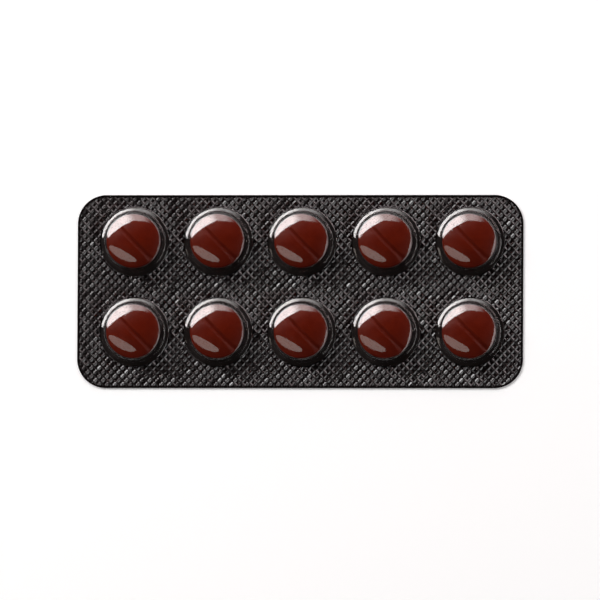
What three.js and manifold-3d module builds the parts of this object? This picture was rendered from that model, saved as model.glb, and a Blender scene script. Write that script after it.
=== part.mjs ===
// A blister card of round coated tablets, lying on its foil with the pockets up, in millimetres.
// A clear film is drawn into rows of pockets, and a foil of the same outline closes them from below.
// Film and foil are welded together wherever the film is knurled, which is everywhere but a smooth
// rim along the card's edge and a smooth sloping collar around each pocket. One scored tablet lies
// loose in each pocket.
// X runs along the rows, Y across them and Z up. The origin is the centre of the card's underside.
import * as THREE from "three";
import { mergeVertices } from "three/addons/utils/BufferGeometryUtils.js";
import Module from "manifold-3d";

// The tablet
const TABLET_DIAMETER = 11.1;
const TABLET_HEIGHT = 4.3;
const TABLET_DOME = 12.5; // radius of both faces
const TABLET_EDGE = 0.35; // rounding between face and side
const SCORE_WIDTH = 1.1; // break line across the upper face
const SCORE_DEPTH = 0.35;
const SCORE_ANGLE = -45; // degrees from the card's length

// The film and its pockets, with sizes on the film's inner side
const FILM_THICKNESS = 0.3;
const POCKET_SIDE_CLEARANCE = 0.25; // around the tablet, at the top of the pocket's wall
const POCKET_HEAD_CLEARANCE = 0.3; // over the tablet
const POCKET_DOME = 13; // radius of the pocket's top
const POCKET_SHOULDER = 0.6; // rounding between wall and top
const POCKET_DRAFT = 3; // degrees

// The collar around each pocket and the lip along its foot, on the film's outer side
const COLLAR_WIDTH = 0.7;
const COLLAR_SLOPE = 22; // degrees
const COLLAR_RISE = 0.08; // of its outer edge above the web
const LIP_WIDTH = 0.28;
const LIP_RISE = 0.06; // above the collar's outer edge

// The foil
const FOIL_THICKNESS = 0.025;
const TABLET_SEAT_GAP = 0.1; // under the tablet, which lies loose on the foil

// The card
const COLUMNS = 5;
const ROWS = 2;
const WEB_BETWEEN_COLUMNS = 3.05; // from foot to foot of the pockets' lips
const WEB_BETWEEN_ROWS = 4.3;
const MARGIN_LEFT = 4.65; // from the outermost feet to the card's edge
const MARGIN_RIGHT = 3.85;
const MARGIN_FRONT = 4.45;
const MARGIN_BACK = 2.45;
const CORNER_RADIUS = 6;

// The knurl of the weld
const KNURL_LENGTH = 2.2; // diagonals of one diamond, fitted to a whole number of them
const KNURL_WIDTH = 2.25;
const KNURL_DEPTH = 0.2;
const KNURL_DROP = 0.02; // the crests lie this far below the smooth film
const RIM_WIDTH = 0.4; // smooth rim along the card's edge

// How finely round forms are divided
const POCKET_SIDES = 20;
const OUTER_SHOULDER_STEPS = 2;
const INNER_SHOULDER_STEPS = 1;
const TABLET_SIDES = 20;
const EDGE_STEPS = 1;
const DOME_STEPS = 2;
const SCORE_SIDES = 24; // for a whole turn of the ring that cuts the break line
const CORNER_STEPS = 4; // for each half of a rounded corner

const wasm = await Module();
wasm.setup();

const DEGREE = Math.PI / 180;
const QUARTER_TURN = Math.PI / 2;

const tabletRadius = TABLET_DIAMETER / 2;
const tabletBase = FOIL_THICKNESS + TABLET_SEAT_GAP;
const draft = POCKET_DRAFT * DEGREE;
const collarSlope = COLLAR_SLOPE * DEGREE;
const pocketCeiling = tabletBase + TABLET_HEIGHT + POCKET_HEAD_CLEARANCE;
const webTop = FOIL_THICKNESS + FILM_THICKNESS;

// Where a domed top of the given height and radius is rounded into its side: the centre of the
// rounding, and the dome's slope where it ends.
function roundedEdge(top, dome, sideRadius, sideSlope, rounding) {
  const x = sideRadius - rounding * Math.cos(sideSlope);
  const slope = Math.asin(x / (dome - rounding));
  return { x, y: top - dome + (dome - rounding) * Math.cos(slope), slope };
}

const pocketRadius = tabletRadius + POCKET_SIDE_CLEARANCE;
const shoulder = roundedEdge(pocketCeiling, POCKET_DOME, pocketRadius, draft, POCKET_SHOULDER);

// Radius of the pocket's wall at a height, skin outside its inner face.
function wallRadius(skin, height) {
  const reach = POCKET_SHOULDER + skin;
  const topRadius = shoulder.x + reach * Math.cos(draft);
  const topHeight = shoulder.y + reach * Math.sin(draft);
  return topRadius + (topHeight - height) * Math.tan(draft);
}

const collarHeight = webTop + COLLAR_RISE;
const collarTop = collarHeight + COLLAR_WIDTH * Math.tan(collarSlope);
const collarRadius = wallRadius(FILM_THICKNESS, collarTop) + COLLAR_WIDTH;
const footRadius = collarRadius + LIP_WIDTH;

// Radius of the collar at a height, skin outside the film's inner face.
function collarRadiusAt(skin, height) {
  const edgeHeight = collarHeight - (FILM_THICKNESS - skin) / Math.cos(collarSlope);
  return collarRadius + (edgeHeight - height) / Math.tan(collarSlope);
}

// The corner between the pocket's wall and its collar, where both radii are the same.
function wallFoot(skin) {
  const gap = collarRadiusAt(skin, 0) - wallRadius(skin, 0);
  const height = gap / (1 / Math.tan(collarSlope) - Math.tan(draft));
  return new THREE.Vector2(wallRadius(skin, height), height);
}

const columnPitch = 2 * footRadius + WEB_BETWEEN_COLUMNS;
const rowPitch = 2 * footRadius + WEB_BETWEEN_ROWS;
const cardLength = MARGIN_LEFT + MARGIN_RIGHT + 2 * footRadius + (COLUMNS - 1) * columnPitch;
const cardWidth = MARGIN_FRONT + MARGIN_BACK + 2 * footRadius + (ROWS - 1) * rowPitch;

function pocketPlaces() {
  const places = [];
  for (let row = 0; row < ROWS; row += 1) {
    for (let column = 0; column < COLUMNS; column += 1) {
      const x = MARGIN_LEFT + footRadius + column * columnPitch - cardLength / 2;
      const y = cardWidth / 2 - MARGIN_BACK - footRadius - row * rowPitch;
      places.push({ x, y, label: `r${row + 1}c${column + 1}` });
    }
  }
  return places;
}

function solidOf(geometry) {
  const bare = geometry.clone();
  bare.deleteAttribute("normal");
  bare.deleteAttribute("uv");
  const merged = mergeVertices(bare);
  const vertProperties = new Float32Array(merged.attributes.position.array);
  const triVerts = new Uint32Array(merged.index.array);
  return new wasm.Manifold(new wasm.Mesh({ numProp: 3, vertProperties, triVerts }));
}

function geometryOf(solid) {
  const mesh = solid.getMesh();
  const geometry = new THREE.BufferGeometry();
  geometry.setAttribute("position", new THREE.BufferAttribute(mesh.vertProperties, 3));
  geometry.setIndex(new THREE.BufferAttribute(mesh.triVerts, 1));
  return geometry;
}

// A profile of radius and height, turned around Z.
function turned(profile, sides) {
  return new THREE.LatheGeometry(profile, sides).rotateX(QUARTER_TURN);
}

// The card's outline with its rounded corners, drawn inset from the edge.
function cardOutline(inset) {
  const x = cardLength / 2 - inset;
  const y = cardWidth / 2 - inset;
  const radius = CORNER_RADIUS - inset;
  const outline = new THREE.Shape();
  outline.absarc(x - radius, y - radius, radius, 0, QUARTER_TURN);
  outline.absarc(radius - x, y - radius, radius, QUARTER_TURN, Math.PI);
  outline.absarc(radius - x, radius - y, radius, Math.PI, 3 * QUARTER_TURN);
  outline.absarc(x - radius, radius - y, radius, 3 * QUARTER_TURN, 4 * QUARTER_TURN);
  return outline;
}

function cardPlate(inset, thickness) {
  const options = { depth: thickness, bevelEnabled: false, curveSegments: CORNER_STEPS };
  return new THREE.ExtrudeGeometry(cardOutline(inset), options);
}

// An arc of equal steps, from the first angle to the last.
function arc({ x, y }, radius, from, to, steps) {
  const clockwise = to < from;
  return new THREE.EllipseCurve(x, y, radius, radius, from, to, clockwise).getPoints(steps);
}

// A dome from its rounded edge up to the axis.
function dome(top, radius, slope) {
  const centre = new THREE.Vector2(0, top - radius);
  return arc(centre, radius, QUARTER_TURN - slope, QUARTER_TURN, DOME_STEPS).slice(1, -1);
}

// The film around a pocket as a solid of revolution, from the lip over the collar up to the dome.
function pocketOutside() {
  const root = (FILM_THICKNESS + KNURL_DEPTH) / 2;
  const profile = [
    new THREE.Vector2(0, webTop - root),
    new THREE.Vector2(footRadius, webTop - root),
    new THREE.Vector2(footRadius, webTop),
    new THREE.Vector2(footRadius - LIP_WIDTH / 2, collarHeight + LIP_RISE),
    new THREE.Vector2(collarRadius, collarHeight),
    ...pocketTop(FILM_THICKNESS, OUTER_SHOULDER_STEPS),
  ];
  return solidOf(turned(profile, POCKET_SIDES));
}

// The room inside a pocket, down into the foil so that it is open below the film.
function pocketInside() {
  const profile = [
    new THREE.Vector2(0, 0),
    new THREE.Vector2(collarRadiusAt(0, 0), 0),
    ...pocketTop(0, INNER_SHOULDER_STEPS),
  ];
  return solidOf(turned(profile, POCKET_SIDES));
}

// The wall and the top of a pocket, skin outside the film's inner face.
function pocketTop(skin, shoulderSteps) {
  const top = pocketCeiling + skin;
  return [
    wallFoot(skin),
    ...arc(shoulder, POCKET_SHOULDER + skin, draft, QUARTER_TURN - shoulder.slope, shoulderSteps),
    ...dome(top, POCKET_DOME + skin, shoulder.slope),
    new THREE.Vector2(0, top),
  ];
}

// A block over the sheet whose underside is the knurl. Its points lie on a lattice of half diamonds,
// where each second one is the bottom of a pit. Folds join two crests or run down into a pit.
function knurlSolid() {
  const length = cardLength - 2 * RIM_WIDTH;
  const width = cardWidth - 2 * RIM_WIDTH;
  const columns = 2 * Math.round(length / KNURL_LENGTH);
  const rows = 2 * Math.round(width / KNURL_WIDTH);
  const crest = webTop - KNURL_DROP;
  const clear = webTop + FILM_THICKNESS;
  const positions = [];
  const index = [];
  const quad = (a, b, c, d) => index.push(a, b, c, a, c, d);
  for (let i = 0; i <= columns; i += 1) {
    for (let j = 0; j <= rows; j += 1) {
      const x = (i / columns - 0.5) * length;
      const y = (j / rows - 0.5) * width;
      const isInside = i > 0 && i < columns && j > 0 && j < rows;
      const isPit = isInside && (i + j) % 2 === 0;
      positions.push(x, y, isPit ? crest - KNURL_DEPTH : crest);
      positions.push(x, y, clear);
    }
  }
  const low = (i, j) => 2 * (i * (rows + 1) + j);
  const high = (i, j) => low(i, j) + 1;
  for (let i = 0; i < columns; i += 1) {
    for (let j = 0; j < rows; j += 1) {
      const corners = [low(i, j), low(i, j + 1), low(i + 1, j + 1), low(i + 1, j)];
      if ((i + j) % 2 === 0) {
        corners.push(corners.shift());
      }
      quad(...corners);
      quad(high(i, j), high(i + 1, j), high(i + 1, j + 1), high(i, j + 1));
    }
  }
  for (let i = 0; i < columns; i += 1) {
    quad(low(i, 0), low(i + 1, 0), high(i + 1, 0), high(i, 0));
    quad(low(i + 1, rows), low(i, rows), high(i, rows), high(i + 1, rows));
  }
  for (let j = 0; j < rows; j += 1) {
    quad(low(0, j + 1), low(0, j), high(0, j), high(0, j + 1));
    quad(low(columns, j), low(columns, j + 1), high(columns, j + 1), high(columns, j));
  }
  const geometry = new THREE.BufferGeometry();
  geometry.setAttribute("position", new THREE.Float32BufferAttribute(positions, 3));
  geometry.setIndex(index);
  const outline = cardPlate(RIM_WIDTH, 2 * clear);
  return solidOf(geometry).intersect(solidOf(outline));
}

function filmGeometry() {
  const sheet = cardPlate(0, FILM_THICKNESS).translate(0, 0, FOIL_THICKNESS);
  const outside = pocketOutside();
  const inside = pocketInside();
  let film = solidOf(sheet).subtract(knurlSolid());
  for (const { x, y } of pocketPlaces()) {
    film = film.add(outside.translate([x, y, 0])).subtract(inside.translate([x, y, 0]));
  }
  return geometryOf(film);
}

// A tablet with two domed faces, standing on the middle of the lower one.
function tabletGeometry() {
  const edge = roundedEdge(TABLET_HEIGHT, TABLET_DOME, tabletRadius, 0, TABLET_EDGE);
  const upper = [
    ...arc(edge, TABLET_EDGE, 0, QUARTER_TURN - edge.slope, EDGE_STEPS),
    ...dome(TABLET_HEIGHT, TABLET_DOME, edge.slope),
    new THREE.Vector2(0, TABLET_HEIGHT),
  ];
  const lower = upper.map(({ x, y }) => new THREE.Vector2(x, TABLET_HEIGHT - y)).reverse();
  return geometryOf(solidOf(turned([...lower, ...upper], TABLET_SIDES)).subtract(scoreSolid()));
}

// A ring of V section around the centre of the upper face's dome. Its inner edge is the bottom of
// the break line, so that the line follows the face. It goes as far above the face as below it.
function scoreSolid() {
  const inner = TABLET_DOME - SCORE_DEPTH;
  const outer = TABLET_DOME + SCORE_DEPTH;
  const section = [
    new THREE.Vector2(inner, 0),
    new THREE.Vector2(outer, -SCORE_WIDTH),
    new THREE.Vector2(outer, SCORE_WIDTH),
    new THREE.Vector2(inner, 0),
  ];
  const ring = new THREE.LatheGeometry(section, SCORE_SIDES).rotateZ(SCORE_ANGLE * DEGREE);
  return solidOf(ring.translate(0, 0, TABLET_HEIGHT - TABLET_DOME));
}

const filmMaterial = new THREE.MeshStandardMaterial({
  color: 0x3a2a2a,
  roughness: 0.12,
  metalness: 0,
  transparent: true,
  opacity: 0.35,
});
const foilMaterial = new THREE.MeshStandardMaterial({
  color: 0x1a1012,
  roughness: 0.4,
  metalness: 0.6,
});
const tabletMaterial = new THREE.MeshStandardMaterial({
  color: 0x6b1c0e,
  roughness: 0.25,
  metalness: 0,
});

function named(name, geometry, material) {
  const mesh = new THREE.Mesh(geometry, material);
  mesh.name = name;
  return mesh;
}

const card = new THREE.Group();
card.add(named("lidding_foil", cardPlate(0, FOIL_THICKNESS), foilMaterial));
card.add(named("blister_film", filmGeometry(), filmMaterial));
for (const { x, y, label } of pocketPlaces()) {
  const tablet = named(`tablet_${label}`, tabletGeometry(), tabletMaterial);
  tablet.position.set(x, y, tabletBase);
  card.add(tablet);
}

export default card;
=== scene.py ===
import math
import random

import bmesh
import bpy
from mathutils import Matrix, Vector


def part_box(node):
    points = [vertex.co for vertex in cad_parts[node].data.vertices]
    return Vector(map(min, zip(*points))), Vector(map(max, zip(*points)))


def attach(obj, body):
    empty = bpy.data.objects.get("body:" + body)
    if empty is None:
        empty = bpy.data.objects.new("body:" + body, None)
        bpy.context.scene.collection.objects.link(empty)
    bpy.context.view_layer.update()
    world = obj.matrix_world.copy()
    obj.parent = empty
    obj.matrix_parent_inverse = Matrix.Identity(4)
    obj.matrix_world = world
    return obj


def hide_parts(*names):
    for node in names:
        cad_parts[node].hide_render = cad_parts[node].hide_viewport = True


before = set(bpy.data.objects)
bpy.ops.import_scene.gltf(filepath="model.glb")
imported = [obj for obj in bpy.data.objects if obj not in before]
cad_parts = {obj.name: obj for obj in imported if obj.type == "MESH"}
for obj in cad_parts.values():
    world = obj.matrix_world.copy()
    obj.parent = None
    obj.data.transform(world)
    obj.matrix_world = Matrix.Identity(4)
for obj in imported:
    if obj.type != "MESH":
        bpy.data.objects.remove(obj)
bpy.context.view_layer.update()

MM = 0.001

# Film and pockets, with the collar and its lip on the film's outer side
FILM_THICKNESS = 0.3
POCKET_SIDE_CLEARANCE = 0.25
POCKET_HEAD_CLEARANCE = 0.3
POCKET_DOME = 13.0
POCKET_SHOULDER = 0.6
POCKET_DRAFT = math.radians(3)
COLLAR_WIDTH = 0.7
COLLAR_SLOPE = math.radians(22)
COLLAR_RISE = 0.08
COLLAR_FILLET = 0.5
FOOT_WIDTH = 0.34
LIP_WIDTH = 0.2
LIP_RISE = 0.04
LIP_ROUNDING = 0.04
CORNER_RADIUS = 6.0
RIM_WIDTH = 0.4

# Knurl of the weld: diamond pits in the film and shallower ones in the foil
KNURL_LENGTH = 1.62
KNURL_WIDTH = 1.71
KNURL_DEPTH = 0.17
KNURL_DROP = 0.02
LAND_HALF_WIDTH = 0.05
FLANK_WIDTH = 0.25
PIT_ROUNDING = 0.85
PIT_JITTER = 0.015
PIT_VARIATION = 0.08
FOIL_KNURL_DEPTH = 0.06
FOIL_LAND_HALF_WIDTH = 0.12
FOIL_FLANK_WIDTH = 0.3
DIAMOND_CORNERS = 4
PIT_CORNERS = 8
SPARE_ROWS = 2
FILM_PHASE = 0
FOIL_PHASE = 1

# How far the solids that cut reach past what they cut
OVERSHOOT = 1.0

# Tablet
TABLET_DOME = 12.5
TABLET_EDGE = 0.35
SCORE_HALF_WIDTH = 0.62
SCORE_DEPTH = 0.42
SCORE_ANGLE = math.radians(-45)

# Seeds of the small differences between the pits
FILM_SEED = 11
FOIL_SEED = 12

# How finely round forms are divided
POCKET_SIDES = 84
TABLET_SIDES = 96
CORNER_STEPS = 24
ARC_STEP = math.radians(9)
EDGE_STEP = 2 * ARC_STEP
DOME_STEP = math.radians(2.5)
TABLET_STEP = math.radians(0.7)
SHARP_ANGLE = math.radians(20)
FACING_UP = 0.1

# Materials
NOISE_LOW = 0.35
NOISE_HIGH = 0.65
FILM_IOR = 1.7
FILM_TINT = (0.9, 0.86, 0.85)
FILM_GLOSS = (0.02, 0.06)
FILM_WAVES = 900
FILM_WAVE_HEIGHT = 0.0003
FRESNEL_POWER = 5
EVEN_BLEND = 0.5

# Camera, floor and light
FRAME_WIDTH = 124.15
FRAME_SHIFT = -1.75
CAMERA_LENS = 1000
CAMERA_SENSOR = 36
CAMERA_NEAR = 0.1
CAMERA_FAR = 100
CAMERA_RIGHT = math.radians(6.0)
CAMERA_DOWN = math.radians(2.7)
LAMP_DISTANCE = 1.2
RIM_LAMPS = ((215, 0.3), (135, 1.3), (90, 1.8), (45, 2.8), (0, 0.3))
RIM_COLOUR = (1.0, 0.86, 0.87)
RIM_ZENITH = 70
RIM_SIZE = (0.95, 0.38)
FLOOR_HALF = 3.0
FLOOR_DROP = 0.02
FLOOR_COLOUR = (0.95, 0.95, 0.95)
FLOOR_ROUGHNESS = 0.9
FLOOR_GLOW = 0.2
WORLD_COLOUR = (0.012, 0.011, 0.011)


def top_corner(name):
    return Vector(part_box(name)[1]) / MM


foil_high = top_corner("lidding_foil")
card_half = Vector((foil_high.x, foil_high.y))
foil_thickness = foil_high.z
tablet_names = sorted(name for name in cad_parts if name.startswith("tablet"))


def tablet_box(name):
    low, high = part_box(name)
    return Vector(low) / MM, Vector(high) / MM


def pocket_centre(name):
    low, high = tablet_box(name)
    return Vector(((low.x + high.x) / 2, (low.y + high.y) / 2))


pockets = {name: pocket_centre(name) for name in tablet_names}
first_low, first_high = tablet_box(tablet_names[0])
tablet_radius = (first_high.x - first_low.x) / 2
tablet_base = first_low.z
web_top = foil_thickness + FILM_THICKNESS
ceiling = top_corner("blister_film").z - FILM_THICKNESS
tablet_height = ceiling - POCKET_HEAD_CLEARANCE - tablet_base
places = [tuple(place) for place in pockets.values()]


def new_object(name, verts, faces):
    mesh = bpy.data.meshes.new(name)
    mesh.from_pydata([Vector(v) * MM for v in verts], [], faces)
    mesh.validate()
    obj = bpy.data.objects.new(name, mesh)
    bpy.context.scene.collection.objects.link(obj)
    return obj


def arc(centre, radius, start, end, step=ARC_STEP):
    steps = max(2, math.ceil(abs(end - start) / step))
    points = []
    for i in range(steps + 1):
        angle = start + (end - start) * i / steps
        points.append((centre[0] + radius * math.cos(angle), centre[1] + radius * math.sin(angle)))
    return points


def fillet(before, corner, after, radius):
    """The arc that rounds the corner between two straight stretches."""
    corner = Vector(corner)
    to_before = (Vector(before) - corner).normalized()
    to_after = (Vector(after) - corner).normalized()
    half = to_before.angle(to_after) / 2
    centre = corner + (to_before + to_after).normalized() * radius / math.sin(half)
    first = corner + to_before * radius / math.tan(half) - centre
    last = corner + to_after * radius / math.tan(half) - centre
    start = math.atan2(first.y, first.x)
    sweep = (math.atan2(last.y, last.x) - start + math.pi) % (2 * math.pi) - math.pi
    return arc(centre, radius, start, start + sweep)


def turned(name, profile, sides, places=((0, 0),)):
    """Closed solids turned around Z, one at each place; the profile starts and ends on the axis."""
    verts = []
    faces = []
    for px, py in places:
        base = len(verts)
        verts.append((px, py, profile[0][1]))
        for radius, z in profile[1:-1]:
            for k in range(sides):
                angle = 2 * math.pi * k / sides
                verts.append((px + radius * math.cos(angle), py + radius * math.sin(angle), z))
        verts.append((px, py, profile[-1][1]))
        rings = len(profile) - 2
        top = len(verts) - 1
        for k in range(sides):
            n = (k + 1) % sides
            faces.append((base, base + 1 + n, base + 1 + k))
            for ring in range(rings - 1):
                low = base + 1 + ring * sides
                faces.append((low + k, low + n, low + sides + n, low + sides + k))
            high = base + 1 + (rings - 1) * sides
            faces.append((high + k, high + n, top))
    return new_object(name, verts, faces)


def card_outline(inset):
    radius = CORNER_RADIUS - inset
    x = card_half.x - inset - radius
    y = card_half.y - inset - radius
    points = []
    for sx, sy, start in ((1, 1, 0), (-1, 1, 1), (-1, -1, 2), (1, -1, 3)):
        for k in range(CORNER_STEPS + 1):
            angle = math.pi / 2 * (start + k / CORNER_STEPS)
            points.append((sx * x + radius * math.cos(angle), sy * y + radius * math.sin(angle)))
    return points


def plate(name, outline, low, high):
    count = len(outline)
    verts = [(x, y, low) for x, y in outline] + [(x, y, high) for x, y in outline]
    faces = [tuple(reversed(range(count))), tuple(range(count, 2 * count))]
    faces += [(k, (k + 1) % count, count + (k + 1) % count, count + k) for k in range(count)]
    return new_object(name, verts, faces)


def combine(obj, other, operation):
    """Boolean of two closed solids; the second one is used up."""
    modifier = obj.modifiers.new("boolean", "BOOLEAN")
    modifier.solver = "MANIFOLD"
    modifier.operation = operation
    modifier.object = other
    depsgraph = bpy.context.evaluated_depsgraph_get()
    mesh = bpy.data.meshes.new_from_object(obj.evaluated_get(depsgraph))
    obj.modifiers.clear()
    old = obj.data
    obj.data = mesh
    bpy.data.meshes.remove(old)
    used = other.data
    bpy.data.objects.remove(other)
    bpy.data.meshes.remove(used)
    return obj


def knurl_block(
    name, crest, depth, clear, land, flank, phase, seed, points=DIAMOND_CORNERS, rounding=1,
):
    """A block with one knurled side: diamonds sunk by depth from the level crest, closed at clear."""
    rng = random.Random(seed)
    half_x = KNURL_LENGTH / 2
    half_y = KNURL_WIDTH / 2
    across = math.ceil(card_half.x / half_x) + SPARE_ROWS
    along = math.ceil(card_half.y / half_y) + SPARE_ROWS
    inradius = half_x * half_y / math.hypot(half_x, half_y)
    verts = []
    faces = []
    shared = {}

    def corner(i, j):
        if (i, j) not in shared:
            shared[(i, j)] = len(verts)
            verts.append((i * half_x, j * half_y, crest))
        return shared[(i, j)]

    def ring(i, j, scale, rounding, z, shift, count):
        first = len(verts)
        for k in range(count):
            angle = 2 * math.pi * k / count
            dx = round(math.cos(angle))
            dy = round(math.sin(angle))
            reach = scale * (0.5 if dx and dy else rounding)
            verts.append(((i + dx * reach) * half_x + shift.x, (j + dy * reach) * half_y + shift.y, z))
        return range(first, first + count)

    edge = 1 - land / inradius
    inner = 1 - (land + flank) / inradius
    for i in range(-across, across + 1):
        for j in range(-along, along + 1):
            if (i + j) % 2 != phase:
                continue
            shift = Vector((rng.uniform(-1, 1), rng.uniform(-1, 1))) * PIT_JITTER
            sunk = depth * (1 + rng.uniform(-PIT_VARIATION, PIT_VARIATION))
            outer = [corner(i + 1, j), corner(i, j + 1), corner(i - 1, j), corner(i, j - 1)]
            rim = ring(i, j, edge, 1, crest, Vector((0, 0)), DIAMOND_CORNERS)
            floor = ring(i, j, inner, rounding, crest - sunk, shift, points)
            for k in range(DIAMOND_CORNERS):
                n = (k + 1) % DIAMOND_CORNERS
                faces.append((outer[k], outer[n], rim[n], rim[k]))
                if points == DIAMOND_CORNERS:
                    faces.append((rim[k], rim[n], floor[n], floor[k]))
                    continue
                a, b, c = (floor[(2 * k + m) % points] for m in (0, 1, 2))
                faces += [(rim[k], b, a), (rim[k], rim[n], b), (rim[n], c, b)]
            faces.append(tuple(floor))
    obj = new_object(name, verts, faces)
    bm = bmesh.new()
    bm.from_mesh(obj.data)
    edges = [e for e in bm.edges if e.is_boundary]
    made = bmesh.ops.extrude_edge_only(bm, edges=edges)["geom"]
    for v in (g for g in made if isinstance(g, bmesh.types.BMVert)):
        v.co.z = clear * MM
    bmesh.ops.holes_fill(bm, edges=[e for e in bm.edges if e.is_boundary], sides=0)
    bmesh.ops.recalc_face_normals(bm, faces=bm.faces)
    bm.to_mesh(obj.data)
    bm.free()
    return obj


# The pocket's section, where skin is the distance outwards from the film's inner face

def rounded_edge(top, dome, side_radius, side_slope, rounding):
    """Where a dome is rounded into its side: the rounding's centre, and the dome's slope there."""
    radius = side_radius - rounding * math.cos(side_slope)
    slope = math.asin(radius / (dome - rounding))
    return (radius, top - dome + (dome - rounding) * math.cos(slope)), slope


shoulder, shoulder_slope = rounded_edge(
    ceiling, POCKET_DOME, tablet_radius + POCKET_SIDE_CLEARANCE, POCKET_DRAFT, POCKET_SHOULDER,
)


def wall_radius(skin, height):
    reach = POCKET_SHOULDER + skin
    top_radius = shoulder[0] + reach * math.cos(POCKET_DRAFT)
    top_height = shoulder[1] + reach * math.sin(POCKET_DRAFT)
    return top_radius + (top_height - height) * math.tan(POCKET_DRAFT)


collar_height = web_top + COLLAR_RISE
collar_top = collar_height + COLLAR_WIDTH * math.tan(COLLAR_SLOPE)
collar_radius = wall_radius(FILM_THICKNESS, collar_top) + COLLAR_WIDTH
foot_radius = collar_radius + FOOT_WIDTH


def collar_radius_at(skin, height):
    edge_height = collar_height - (FILM_THICKNESS - skin) / math.cos(COLLAR_SLOPE)
    return collar_radius + (edge_height - height) / math.tan(COLLAR_SLOPE)


def pocket_top(skin):
    gap = collar_radius_at(skin, 0) - wall_radius(skin, 0)
    foot_height = gap / (1 / math.tan(COLLAR_SLOPE) - math.tan(POCKET_DRAFT))
    foot = (wall_radius(skin, foot_height), foot_height)
    collar = (collar_radius_at(skin, 0), 0)
    wall = (wall_radius(skin, shoulder[1]), shoulder[1])
    top = ceiling + skin
    turn = math.pi / 2 - shoulder_slope
    profile = fillet(collar, foot, wall, COLLAR_FILLET + FILM_THICKNESS - skin)
    profile += arc(shoulder, POCKET_SHOULDER + skin, POCKET_DRAFT, turn)
    profile += arc((0, top - POCKET_DOME - skin), POCKET_DOME + skin, turn, math.pi / 2, DOME_STEP)[1:-1]
    return profile + [(0, top)]


def pocket_outside():
    bottom = web_top - (FILM_THICKNESS + KNURL_DEPTH) / 2
    foot = (foot_radius, web_top - KNURL_DROP)
    crest = (foot_radius - LIP_WIDTH, collar_height + LIP_RISE)
    edge = (collar_radius, collar_height)
    lip = fillet(foot, crest, edge, LIP_ROUNDING)
    return [(0, bottom), (foot_radius, bottom), foot] + lip + [edge] + pocket_top(FILM_THICKNESS)


def pocket_inside():
    return [(0, 0), (collar_radius_at(0, 0), 0)] + pocket_top(0)


# The pieces

def weld_zone(name, grow, low, high):
    """The part of the card that is welded, without the rim and the pockets."""
    zone = plate(name, card_outline(RIM_WIDTH - grow), low, high)
    radius = foot_radius - grow
    low -= OVERSHOOT
    high += OVERSHOOT
    disc = [(0, low), (radius, low), (radius, high), (0, high)]
    return combine(zone, turned("discs", disc, POCKET_SIDES, places), "DIFFERENCE")


def foil_bumps(name, lift, grow):
    """A block whose upper side is the foil's relief, lifted by lift."""
    block = knurl_block(
        name, lift, -FOIL_KNURL_DEPTH, -OVERSHOOT, FOIL_LAND_HALF_WIDTH, FOIL_FLANK_WIDTH,
        FOIL_PHASE, FOIL_SEED,
    )
    return combine(block, weld_zone("zone", grow, -2 * OVERSHOOT, web_top), "INTERSECT")


def make_film():
    film = plate("film_shell", card_outline(0), foil_thickness, web_top)
    crest = web_top - KNURL_DROP
    cutter = knurl_block(
        "cutter", crest, KNURL_DEPTH, web_top + OVERSHOOT, LAND_HALF_WIDTH, FLANK_WIDTH,
        FILM_PHASE, FILM_SEED, PIT_CORNERS, PIT_ROUNDING,
    )
    zone = plate("zone", card_outline(RIM_WIDTH), 0, web_top + 2 * OVERSHOOT)
    combine(cutter, zone, "INTERSECT")
    combine(film, cutter, "DIFFERENCE")
    combine(film, turned("outside", pocket_outside(), POCKET_SIDES, places), "UNION")
    combine(film, turned("inside", pocket_inside(), POCKET_SIDES, places), "DIFFERENCE")
    combine(film, foil_bumps("relief", foil_thickness, foil_thickness), "DIFFERENCE")
    return film


def make_foil():
    foil = plate("foil_sheet", card_outline(0), 0, foil_thickness)
    raised = foil_bumps("raised", foil_thickness, foil_thickness)
    combine(raised, plate("above", card_outline(0), foil_thickness / 2, web_top), "INTERSECT")
    combine(foil, raised, "UNION")
    return combine(foil, foil_bumps("hollows", 0, 0), "DIFFERENCE")


def score_depth(x, y):
    """Depth of the break line at a place on the tablet, with rounded bottom and edges."""
    away = abs(x * math.sin(SCORE_ANGLE) - y * math.cos(SCORE_ANGLE))
    if away > SCORE_HALF_WIDTH:
        return 0
    return SCORE_DEPTH * (1 + math.cos(math.pi * away / SCORE_HALF_WIDTH)) / 2


def make_tablet(name):
    place = pockets[name]
    top = tablet_height
    edge, slope = rounded_edge(top, TABLET_DOME, tablet_radius, 0, TABLET_EDGE)
    turn = math.pi / 2 - slope
    upper = arc(edge, TABLET_EDGE, 0, turn, EDGE_STEP)
    upper += arc((0, top - TABLET_DOME), TABLET_DOME, turn, math.pi / 2, TABLET_STEP)[1:]
    lower = [(r, top - z) for r, z in reversed(upper)]
    tablet = turned(name + "_coated", lower + upper, TABLET_SIDES)
    for v in tablet.data.vertices:
        x, y, z = v.co / MM
        if z > top / 2:
            z -= score_depth(x, y)
        v.co = Vector((x + place.x, y + place.y, z + tablet_base)) * MM
    return tablet


# Materials

def new_material(name):
    mat = bpy.data.materials.new(name)
    mat.use_nodes = True
    return mat, mat.node_tree


def noise(tree, scale, detail=2.0):
    node = tree.nodes.new("ShaderNodeTexNoise")
    node.inputs["Scale"].default_value = scale
    node.inputs["Detail"].default_value = detail
    place = tree.nodes.new("ShaderNodeTexCoord")
    tree.links.new(place.outputs["Object"], node.inputs["Vector"])
    return node.outputs["Fac"]


def spread(tree, factor, low, high):
    """A noise factor turned into a value between low and high."""
    node = tree.nodes.new("ShaderNodeMapRange")
    node.inputs["From Min"].default_value = NOISE_LOW
    node.inputs["From Max"].default_value = NOISE_HIGH
    node.inputs["To Min"].default_value = low
    node.inputs["To Max"].default_value = high
    tree.links.new(factor, node.inputs["Value"])
    return node.outputs["Result"]


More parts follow.
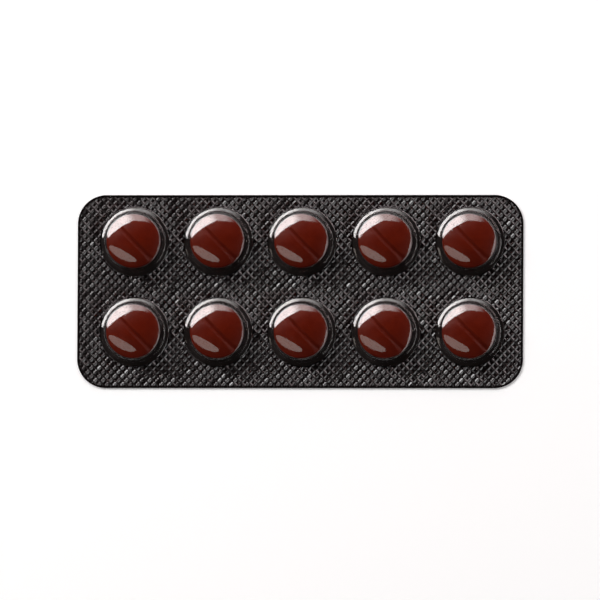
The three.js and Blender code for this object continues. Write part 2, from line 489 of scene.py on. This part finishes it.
def mottled(tree, factor, first, second):
    node = tree.nodes.new("ShaderNodeValToRGB")
    node.color_ramp.elements[0].position = NOISE_LOW
    node.color_ramp.elements[0].color = (*first, 1)
    node.color_ramp.elements[1].position = NOISE_HIGH
    node.color_ramp.elements[1].color = (*second, 1)
    tree.links.new(factor, node.inputs["Fac"])
    return node.outputs["Color"]


def bumped(tree, factor, height):
    node = tree.nodes.new("ShaderNodeBump")
    node.inputs["Distance"].default_value = height * MM
    tree.links.new(factor, node.inputs["Height"])
    return node.outputs["Normal"]


def solid_material(name, colours, colour_scale, roughness, bump_scale, bump_height, **more):
    """A surface with mottled colour, uneven gloss and a fine relief, in millimetres."""
    mat, tree = new_material(name)
    bsdf = tree.nodes["Principled BSDF"]
    colour_noise = noise(tree, colour_scale)
    tree.links.new(mottled(tree, colour_noise, *colours), bsdf.inputs["Base Color"])
    tree.links.new(spread(tree, colour_noise, *roughness), bsdf.inputs["Roughness"])
    relief = noise(tree, bump_scale)
    tree.links.new(bumped(tree, relief, bump_height), bsdf.inputs["Normal"])
    for key, value in more.items():
        bsdf.inputs[key.replace("_", " ")].default_value = value
    return mat


def clear_film_material():
    """The thin film where it stands clear of the foil: tinted glass without refraction."""
    mat, tree = new_material("film_clear")
    tree.nodes.remove(tree.nodes["Principled BSDF"])
    mix = tree.nodes.new("ShaderNodeMixShader")
    see = tree.nodes.new("ShaderNodeBsdfTransparent")
    gloss = tree.nodes.new("ShaderNodeBsdfGlossy")
    facing = tree.nodes.new("ShaderNodeLayerWeight")
    facing.inputs["Blend"].default_value = EVEN_BLEND
    steep = tree.nodes.new("ShaderNodeMath")
    steep.operation = "POWER"
    steep.inputs[1].default_value = FRESNEL_POWER
    mirror = tree.nodes.new("ShaderNodeMapRange")
    mirror.inputs["To Min"].default_value = ((FILM_IOR - 1) / (FILM_IOR + 1)) ** 2
    see.inputs["Color"].default_value = (*FILM_TINT, 1)
    waves = noise(tree, FILM_WAVES)
    tree.links.new(spread(tree, waves, *FILM_GLOSS), gloss.inputs["Roughness"])
    normal = bumped(tree, waves, FILM_WAVE_HEIGHT)
    tree.links.new(normal, gloss.inputs["Normal"])
    tree.links.new(facing.outputs["Facing"], steep.inputs[0])
    tree.links.new(steep.outputs["Value"], mirror.inputs["Value"])
    tree.links.new(mirror.outputs["Result"], mix.inputs["Fac"])
    tree.links.new(see.outputs["BSDF"], mix.inputs[1])
    tree.links.new(gloss.outputs["BSDF"], mix.inputs[2])
    tree.links.new(mix.outputs["Shader"], tree.nodes["Material Output"].inputs["Surface"])
    return mat


film_clear = clear_film_material()
film_sealed = solid_material(
    "film_sealed",
    colours=((0.003, 0.0016, 0.0016), (0.005, 0.003, 0.003)),
    colour_scale=400,
    roughness=(0.09, 0.15),
    bump_scale=2500,
    bump_height=0.001,
    IOR=FILM_IOR,
)
foil_inside = solid_material(
    "foil_inside",
    colours=((0.0035, 0.0026, 0.0026), (0.006, 0.0045, 0.0045)),
    colour_scale=500,
    roughness=(0.4, 0.5),
    bump_scale=3000,
    bump_height=0.003,
)
foil_outside = solid_material(
    "foil_outside",
    colours=((0.72, 0.72, 0.73), (0.82, 0.82, 0.83)),
    colour_scale=300,
    roughness=(0.22, 0.34),
    bump_scale=2500,
    bump_height=0.004,
    Metallic=1,
)
tablet_coat = solid_material(
    "tablet_coat",
    colours=((0.16, 0.011, 0.001), (0.185, 0.014, 0.0015)),
    colour_scale=700,
    roughness=(0.3, 0.36),
    bump_scale=2600,
    bump_height=0.006,
    Specular_IOR_Level=0.25,
)


# The pieces with their materials

def finish_film():
    film = make_film()
    film.data.materials.clear()
    film.data.materials.append(film_sealed)
    film.data.materials.append(film_clear)
    centres = [Vector(place) for place in places]
    for face in film.data.polygons:
        centre = face.center / MM
        near = min((centre.xy - place).length for place in centres)
        on_lip = near < foot_radius and centre.z > web_top - KNURL_DROP
        if on_lip or near < collar_radius:
            face.material_index = 1
        face.use_smooth = True
    film.data.set_sharp_from_angle(angle=SHARP_ANGLE)
    return film


def finish_foil():
    foil = make_foil()
    foil.data.materials.clear()
    foil.data.materials.append(foil_outside)
    foil.data.materials.append(foil_inside)
    for face in foil.data.polygons:
        face.material_index = 1 if face.normal.z > FACING_UP else 0
        face.use_smooth = True
    foil.data.set_sharp_from_angle(angle=SHARP_ANGLE)
    return foil


def finish_tablet(name):
    tablet = make_tablet(name)
    tablet.data.materials.append(tablet_coat)
    for face in tablet.data.polygons:
        face.use_smooth = True
    return tablet


film = finish_film()
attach(film, "root")
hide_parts("blister_film")
foil = finish_foil()
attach(foil, "root")
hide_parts("lidding_foil")
for name in tablet_names:
    tablet = finish_tablet(name)
    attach(tablet, "root")
    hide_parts(name)


# Stage, camera and lights

def turn_to(obj, back, side):
    """Turn a lamp or camera so that it looks against back, with side close to its right."""
    up = back.cross(side).normalized()
    right = up.cross(back)
    obj.rotation_euler = Matrix((right, up, back)).transposed().to_euler()


def make_floor():
    half = FLOOR_HALF / MM
    corners = [(-half, -half, -FLOOR_DROP), (half, -half, -FLOOR_DROP), (half, half, -FLOOR_DROP)]
    floor = new_object("floor", corners + [(-half, half, -FLOOR_DROP)], [(0, 1, 2, 3)])
    mat, tree = new_material("floor")
    bsdf = tree.nodes["Principled BSDF"]
    bsdf.inputs["Base Color"].default_value = (*FLOOR_COLOUR, 1)
    bsdf.inputs["Roughness"].default_value = FLOOR_ROUGHNESS
    bsdf.inputs["Emission Color"].default_value = (1, 1, 1, 1)
    seen = tree.nodes.new("ShaderNodeLightPath")
    glow = tree.nodes.new("ShaderNodeMapRange")
    glow.inputs["To Max"].default_value = FLOOR_GLOW
    tree.links.new(seen.outputs["Is Camera Ray"], glow.inputs["Value"])
    tree.links.new(glow.outputs["Result"], bsdf.inputs["Emission Strength"])
    floor.data.materials.append(mat)


def make_camera():
    data = bpy.data.cameras.new("camera")
    data.lens = CAMERA_LENS
    data.sensor_width = CAMERA_SENSOR
    data.clip_start = CAMERA_NEAR
    data.clip_end = CAMERA_FAR
    camera = bpy.data.objects.new("camera", data)
    bpy.context.scene.collection.objects.link(camera)
    distance = FRAME_WIDTH * MM * CAMERA_LENS / CAMERA_SENSOR
    back = Vector((math.tan(CAMERA_RIGHT), -math.tan(CAMERA_DOWN), 1)).normalized()
    camera.location = Vector((0.0, FRAME_SHIFT, web_top)) * MM + back * distance
    turn_to(camera, back, Vector((1, 0, 0)))
    bpy.context.scene.camera = camera


def faded(data, first, last):
    """Let a lamp fade out towards its two ends, over these shares of its length."""
    data.use_nodes = True
    tree = data.node_tree
    place = tree.nodes.new("ShaderNodeNewGeometry")
    along = tree.nodes.new("ShaderNodeSeparateXYZ")
    tree.links.new(place.outputs["Parametric"], along.inputs["Vector"])
    both = tree.nodes.new("ShaderNodeMath")
    both.operation = "MULTIPLY"
    for k, (end, full) in enumerate(((0, first), (1, 1 - last))):
        ramp = tree.nodes.new("ShaderNodeMapRange")
        ramp.interpolation_type = "SMOOTHSTEP"
        ramp.inputs["From Min"].default_value = end
        ramp.inputs["From Max"].default_value = full
        tree.links.new(along.outputs["X"], ramp.inputs["Value"])
        tree.links.new(ramp.outputs["Result"], both.inputs[k])
    tree.links.new(both.outputs["Value"], tree.nodes["Emission"].inputs["Strength"])


def softbox(name, shape, azimuth, zenith, size, radiance, colour=(1, 1, 1), roll=0, fade=None):
    """A soft lamp in the sky over the strip. Without roll its lower edge is level."""
    data = bpy.data.lights.new(name, "AREA")
    data.shape = shape
    data.size, data.size_y = size
    area = size[0] * size[1] * (math.pi / 4 if shape == "ELLIPSE" else 1)
    data.energy = radiance * math.pi * area
    data.color = colour
    if fade:
        faded(data, *fade)
    lamp = bpy.data.objects.new(name, data)
    bpy.context.scene.collection.objects.link(lamp)
    around = math.radians(azimuth)
    down = math.radians(zenith)
    flat = Vector((math.cos(around), math.sin(around), 0)) * math.sin(down)
    back = flat + Vector((0, 0, math.cos(down)))
    lamp.location = back * LAMP_DISTANCE
    level = Vector((0, 0, 1)).cross(back).normalized()
    turn_to(lamp, back, Matrix.Rotation(math.radians(roll), 3, back) @ level)


make_floor()
make_camera()
softbox(
    "key", "RECTANGLE", azimuth=134, zenith=51, size=(1.35, 0.45), radiance=8.5,
    roll=-14, fade=(0.35, 0.08),
)
softbox(
    "key_tail", "RECTANGLE", azimuth=88, zenith=49, size=(1.15, 0.38), radiance=2.8,
    fade=(0.5, 0.4),
)
softbox(
    "fill_front", "ELLIPSE", azimuth=219, zenith=35, size=(1.22, 0.32), radiance=1.15,
    colour=(1.0, 0.93, 0.86), roll=23,
)
softbox("fill_right", "ELLIPSE", azimuth=-13, zenith=52.5, size=(1.6, 0.36), radiance=2.0)
for azimuth, radiance in RIM_LAMPS:
    softbox("rim", "RECTANGLE", azimuth, RIM_ZENITH, RIM_SIZE, radiance, RIM_COLOUR)

world = bpy.data.worlds.new("world")
world.use_nodes = True
world.node_tree.nodes["Background"].inputs["Color"].default_value = (*WORLD_COLOUR, 1)
bpy.context.scene.world = world
bpy.context.scene.view_settings.view_transform = "Standard"
